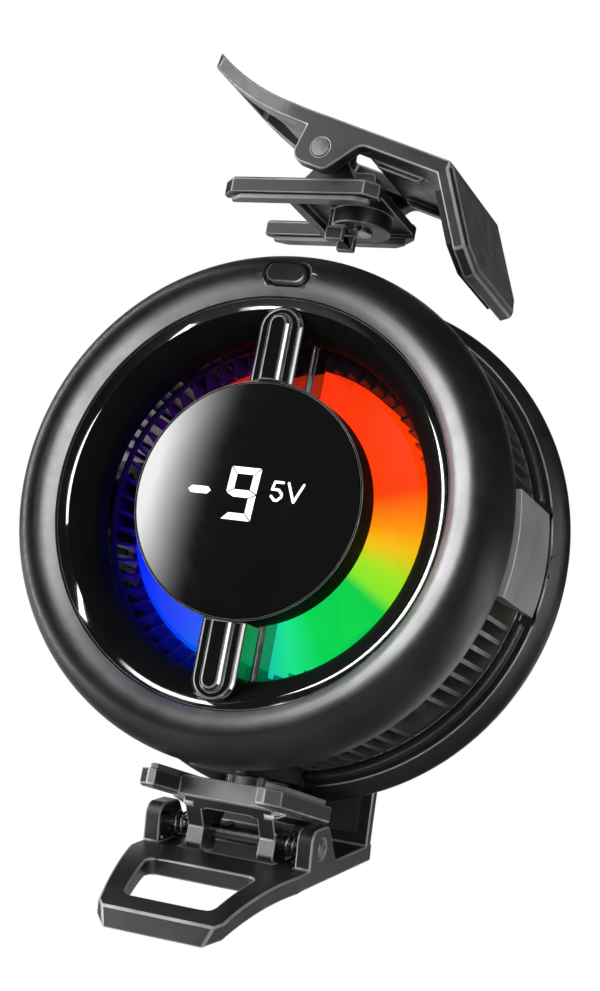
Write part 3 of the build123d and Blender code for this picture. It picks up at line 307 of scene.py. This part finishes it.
def addNoise(tree, coordinates, scale, detail):
    noise = tree.nodes.new("ShaderNodeTexNoise")
    noise.inputs["Scale"].default_value = scale
    noise.inputs["Detail"].default_value = detail
    linkNew(tree, coordinates, noise.inputs["Vector"])
    return noise


def spreadOver(tree, source, low, high, fromLow=0.35, fromHigh=0.65):
    spread = tree.nodes.new("ShaderNodeMapRange")
    for socket, value in (("From Min", fromLow), ("From Max", fromHigh), ("To Min", low), ("To Max", high)):
        spread.inputs[socket].default_value = value
    linkNew(tree, source, spread.inputs["Value"])
    return spread.outputs["Result"]


def mouldedFinish(name, look):
    made = bpy.data.materials.new(name)
    made.use_nodes = True
    tree = made.node_tree
    shader = tree.nodes["Principled BSDF"]
    shader.inputs["Metallic"].default_value = look["metal"]
    shader.inputs["IOR"].default_value = look.get("bend", plainBend)
    shader.inputs["Coat IOR"].default_value = look.get("bend", plainBend)
    shader.inputs["Coat Weight"].default_value = look["coat"]
    shader.inputs["Coat Roughness"].default_value = grains["coatRough"]
    place = tree.nodes.new("ShaderNodeTexCoord").outputs["Object"]
    cloud = addNoise(tree, place, *grains["cloud"])
    tone = tree.nodes.new("ShaderNodeMix")
    tone.data_type = "RGBA"
    tone.inputs[mixFirst].default_value = (*look["low"], 1)
    tone.inputs[mixSecond].default_value = (*look["high"], 1)
    linkNew(tree, spreadOver(tree, cloud.outputs["Fac"], 0, 1), tone.inputs[0])
    linkNew(tree, tone.outputs[mixOut], shader.inputs["Base Color"])
    streak = addNoise(tree, place, *grains["streak"])
    linkNew(tree, spreadOver(tree, streak.outputs["Fac"], *look["rough"]), shader.inputs["Roughness"])
    grain = addNoise(tree, place, look["grain"], grains["detail"])
    bump = tree.nodes.new("ShaderNodeBump")
    bump.inputs["Distance"].default_value = look["depth"]
    bump.inputs["Strength"].default_value = 1.0
    linkNew(tree, grain.outputs["Fac"], bump.inputs["Height"])
    linkNew(tree, bump.outputs["Normal"], shader.inputs["Normal"])
    return made


hubLight = {  # turn clockwise from the top in degrees, colour; seen round the impeller's hub
    "turns": [(-180, (0.01, 0.30, 0.42)), (-165, (0.0, 0.12, 0.75)), (-145, (0.0, 0.05, 0.98)),
              (-110, (0.0, 0.02, 0.95)),
              (-70, (0.03, 0.005, 0.45)), (-42, (0.04, 0.0, 0.08)), (-28, (0.5, 0.01, 0.01)),
              (-12, (0.9, 0.02, 0.004)), (0, (0.96, 0.03, 0.002)), (72, (1.0, 0.052, 0.0)),
              (88, (1.0, 0.30, 0.0)), (97, (0.92, 0.52, 0.005)), (108, (0.36, 0.76, 0.015)),
              (117, (0.22, 0.78, 0.02)),
              (122, (0.0, 0.60, 0.06)), (150, (0.0, 0.68, 0.085)), (163, (0.01, 0.80, 0.28)),
              (172, (0.01, 0.60, 0.40)), (180, (0.01, 0.30, 0.42))],
    "strength": 1.0,
}
# painted light: the hub's glow falling on the blades, given to them as emission; turn clockwise from the top
# in degrees, colour
paintedBladeGlow = {
    "turns": [(-180, (0.0, 0.02, 0.20)), (-150, (0.0, 0.01, 0.50)), (-120, (0.01, 0.0, 0.40)),
              (-90, (0.03, 0.0, 0.32)), (-60, (0.07, 0.0, 0.22)), (-30, (0.03, 0.006, 0.07)),
              (0, (0.012, 0.008, 0.014)), (48, (0.02, 0.01, 0.01)),
              (76, (2.2, 0.15, 0.0)), (95, (2.2, 1.0, 0.01)), (112, (0.9, 1.8, 0.04)),
              (124, (0.0, 1.5, 0.15)), (155, (0.0, 1.5, 0.25)), (170, (0.0, 0.5, 0.4)),
              (180, (0.0, 0.02, 0.10))],
    "strength": 0.3, "reach": (21.8 * mm, 23.6 * mm),
}


patchTones = (0.86, 1.04)  # darkest and lightest patch of a lit wall, as a share


def outward(tree, split):
    squares = [joined(tree, "MULTIPLY", split.outputs[axis], split.outputs[axis]) for axis in "XZ"]
    root = tree.nodes.new("ShaderNodeMath")
    root.operation = "SQRT"
    linkNew(tree, joined(tree, "ADD", *squares), root.inputs[0])
    return root.outputs[0]


def ringLight(name, light, base, rough, patches):
    made = mouldedFinish(name, dict(low=base, high=tuple(2 * tone for tone in base), metal=0.0, rough=rough,
                                    grain=600, depth=0.000004, coat=0.0))
    tree = made.node_tree
    shader = tree.nodes["Principled BSDF"]
    place = tree.nodes.new("ShaderNodeTexCoord").outputs["Object"]
    split = tree.nodes.new("ShaderNodeSeparateXYZ")
    linkNew(tree, place, split.inputs[0])
    turn = tree.nodes.new("ShaderNodeMath")
    turn.operation = "ARCTAN2"
    linkNew(tree, split.outputs["X"], turn.inputs[0])
    linkNew(tree, split.outputs["Z"], turn.inputs[1])
    share = spreadOver(tree, turn.outputs[0], 0, 1, -math.pi, math.pi)
    ramp = tree.nodes.new("ShaderNodeValToRGB")
    stops = ramp.color_ramp.elements
    first, last = light["turns"][0], light["turns"][-1]
    stops[0].position, stops[0].color = 0, (*first[1], 1)
    stops[1].position, stops[1].color = 1, (*last[1], 1)
    for degrees, colour in light["turns"][1:-1]:
        stop = stops.new((degrees + 180) / 360)
        stop.color = (*colour, 1)
    linkNew(tree, share, ramp.inputs[0])
    cells = tree.nodes.new("ShaderNodeTexVoronoi")
    cells.inputs["Scale"].default_value = patches
    linkNew(tree, place, cells.inputs["Vector"])
    shade = tree.nodes.new("ShaderNodeMix")
    shade.data_type = "RGBA"
    shade.blend_type = "MULTIPLY"
    shade.inputs[0].default_value = 1
    linkNew(tree, ramp.outputs[0], shade.inputs[mixFirst])
    cut = tree.nodes.new("ShaderNodeSeparateColor")
    linkNew(tree, cells.outputs["Color"], cut.inputs[0])
    level = spreadOver(tree, cut.outputs[0], *patchTones, 0, 1)
    if "reach" in light:  # the painted glow fades out towards the tips of the blades
        fade = spreadOver(tree, outward(tree, split), 1, 0, *light["reach"])
        level = joined(tree, "MULTIPLY", level, fade)
    linkNew(tree, level, shade.inputs[mixSecond])
    linkNew(tree, shade.outputs[mixOut], shader.inputs["Emission Color"])
    shader.inputs["Emission Strength"].default_value = light["strength"]
    return made


materials = {slot: mouldedFinish(slot, look) for slot, look in finishes.items()}
materials["lit_hub"] = ringLight("lit_hub", hubLight, base=(0.004, 0.004, 0.005),
                                 rough=(0.5, 0.6), patches=130)
materials["painted_blade_glow"] = ringLight("painted_blade_glow", paintedBladeGlow, base=(0.006, 0.006, 0.012),
                                    rough=(0.12, 0.25), patches=260)
litWhite = dict(low=(0.8, 0.8, 0.8), high=(0.9, 0.9, 0.9), metal=0.0, rough=(0.3, 0.4),
                grain=900, depth=0.000002, coat=0.0)
materials["lit_white"] = mouldedFinish("lit_white", litWhite)
whiteShader = materials["lit_white"].node_tree.nodes["Principled BSDF"]
whiteShader.inputs["Emission Color"].default_value = (1, 1, 1, 1)
whiteShader.inputs["Emission Strength"].default_value = 1.0
print("finishes ready:", len(materials))


edgeHighlightTones = {  # lighter tone of the rounded edges: a painted highlight along them
    "gloss_black": dict(low=(0.16, 0.16, 0.165), high=(0.34, 0.34, 0.35), metal=0.6, rough=(0.25, 0.4)),
    "satin_dark_plastic": dict(low=(0.28, 0.28, 0.285), high=(0.5, 0.5, 0.51), metal=0.4, rough=(0.35, 0.5)),
    "satin_dark_metal": dict(low=(0.30, 0.30, 0.305), high=(0.45, 0.45, 0.46), metal=1.0, rough=(0.25, 0.4)),
    "grey_metal": dict(low=(0.55, 0.55, 0.56), high=(0.7, 0.7, 0.71), metal=0.3, rough=(0.3, 0.45)),
}
edgeHighlightFinishes = {slot: mouldedFinish(slot + "_edge_highlight", dict(look, grain=2000, depth=0.000004, coat=0.0))
                for slot, look in edgeHighlightTones.items()}
slotOf = {part["node"]: part["material_slot"] for part in frame["record"]["subparts"]}


def paint(piece, material):
    piece.data.materials.clear()
    piece.data.materials.append(material)


for name, part in nodes.items():
    material = materials.get(slotOf.get(name, "matte_black"), materials["matte_black"])
    # the blades take the painted glow of the hub's light
    if name == "impeller_blades":
        material = materials["painted_blade_glow"]
    paint(part, material)
print("parts painted")


rounded = {  # width of the rounded edges in mm, and the sharpest angle left alone
    "front_ring": (0.12, 40), "bezel_bowl": (0.10, 40), "bridge_arm_upper": (0.16, 35),
    "bridge_arm_lower": (0.16, 35), "display_pod": (0.10, 40), "power_button": (0.12, 40),
    "rear_cover": (0.12, 40), "side_panel_right": (0.12, 40), "side_panel_left": (0.12, 40),
    "clip_socket_upper": (0.10, 40), "clip_socket_lower": (0.10, 40), "release_button_upper": (0.12, 40),
    "release_button_lower": (0.12, 40), "upper_clip_lever": (0.24, 32), "lower_clip_lever": (0.24, 32),
    "upper_clip_base": (0.16, 35), "lower_clip_base": (0.16, 35), "upper_hinge_pin": (0.08, 40),
    "lower_hinge_pin": (0.08, 40), "upper_grip_strips": (0.08, 40), "lower_grip_strips": (0.08, 40),
    "upper_clip_stud": (0.08, 40), "lower_clip_stud": (0.08, 40), "trim_bead": (0.08, 50),
}
seamWidth, flatTurn = 0.002 * mm, 0.6  # points this near and faces this flat, in degrees, become one
smoothSpare = 8  # an edge is shaded smooth up to this many degrees below the angle that is rounded
edgeSteps = 3  # faces across a rounded edge
plainPlace, edgeHighlightPlace, paintedShadePlace = 0, 1, 2  # places of a rounded piece's three finishes: plain, painted edge highlight, painted shade
throatR, sideShare, inwardShare = 25.2 * mm, 0.5, -0.6  # bounds of the walls given flat black, painted shade where they would mirror the lit hub


def podSide(face):
    return abs(face.normal.y) < sideShare


def bowlThroat(face):
    place, way = face.calc_center_median(), face.normal
    out = math.hypot(place.x, place.z)
    return way.x * place.x + way.z * place.z < inwardShare * out and out < throatR


paintedShadeFaces = {"display_pod": podSide, "bezel_bowl": bowlThroat}


def soften(name, width, sharp):
    source = nodes[name]
    bm = bmesh.new()
    bm.from_mesh(source.data)
    bmesh.ops.remove_doubles(bm, verts=bm.verts, dist=seamWidth)
    bmesh.ops.dissolve_limit(bm, angle_limit=math.radians(flatTurn), verts=bm.verts, edges=bm.edges)
    for face in bm.faces:
        face.smooth = True
        # the pod's side walls and the bowl's throat take flat black: painted shade
        face.material_index = paintedShadePlace if name in paintedShadeFaces and paintedShadeFaces[name](face) else plainPlace
    for edge in bm.edges:
        edge.smooth = edge.calc_face_angle(0) < math.radians(sharp - smoothSpare)
    mesh = bpy.data.meshes.new(name + "_soft")
    plain = source.data.materials[0]
    for finish in (plain, edgeHighlightFinishes.get(slotOf.get(name), plain), materials["flat_black"]):
        mesh.materials.append(finish)
    bm.to_mesh(mesh)
    bm.free()
    piece = bpy.data.objects.new(name + "_soft", mesh)
    bpy.context.scene.collection.objects.link(piece)
    edge = piece.modifiers.new("edge", "BEVEL")
    edge.width, edge.segments = width * mm, edgeSteps
    edge.limit_method, edge.angle_limit = "ANGLE", math.radians(sharp)
    # the rounded edges take the lighter finish, a painted highlight
    edge.use_clamp_overlap, edge.material = False, edgeHighlightPlace
    flat = piece.modifiers.new("flat", "WEIGHTED_NORMAL")
    flat.mode, flat.weight, flat.keep_sharp = "FACE_AREA", 100, True
    for flag, state in flagged.get(name, []):
        flag.objects.link(piece)
        flag.collection_objects[-1].light_linking.link_state = state
    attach(piece, nodeBody[name])
    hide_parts(name)


for name, (width, sharp) in rounded.items():
    soften(name, width, sharp)
print("edges rounded:", len(rounded))
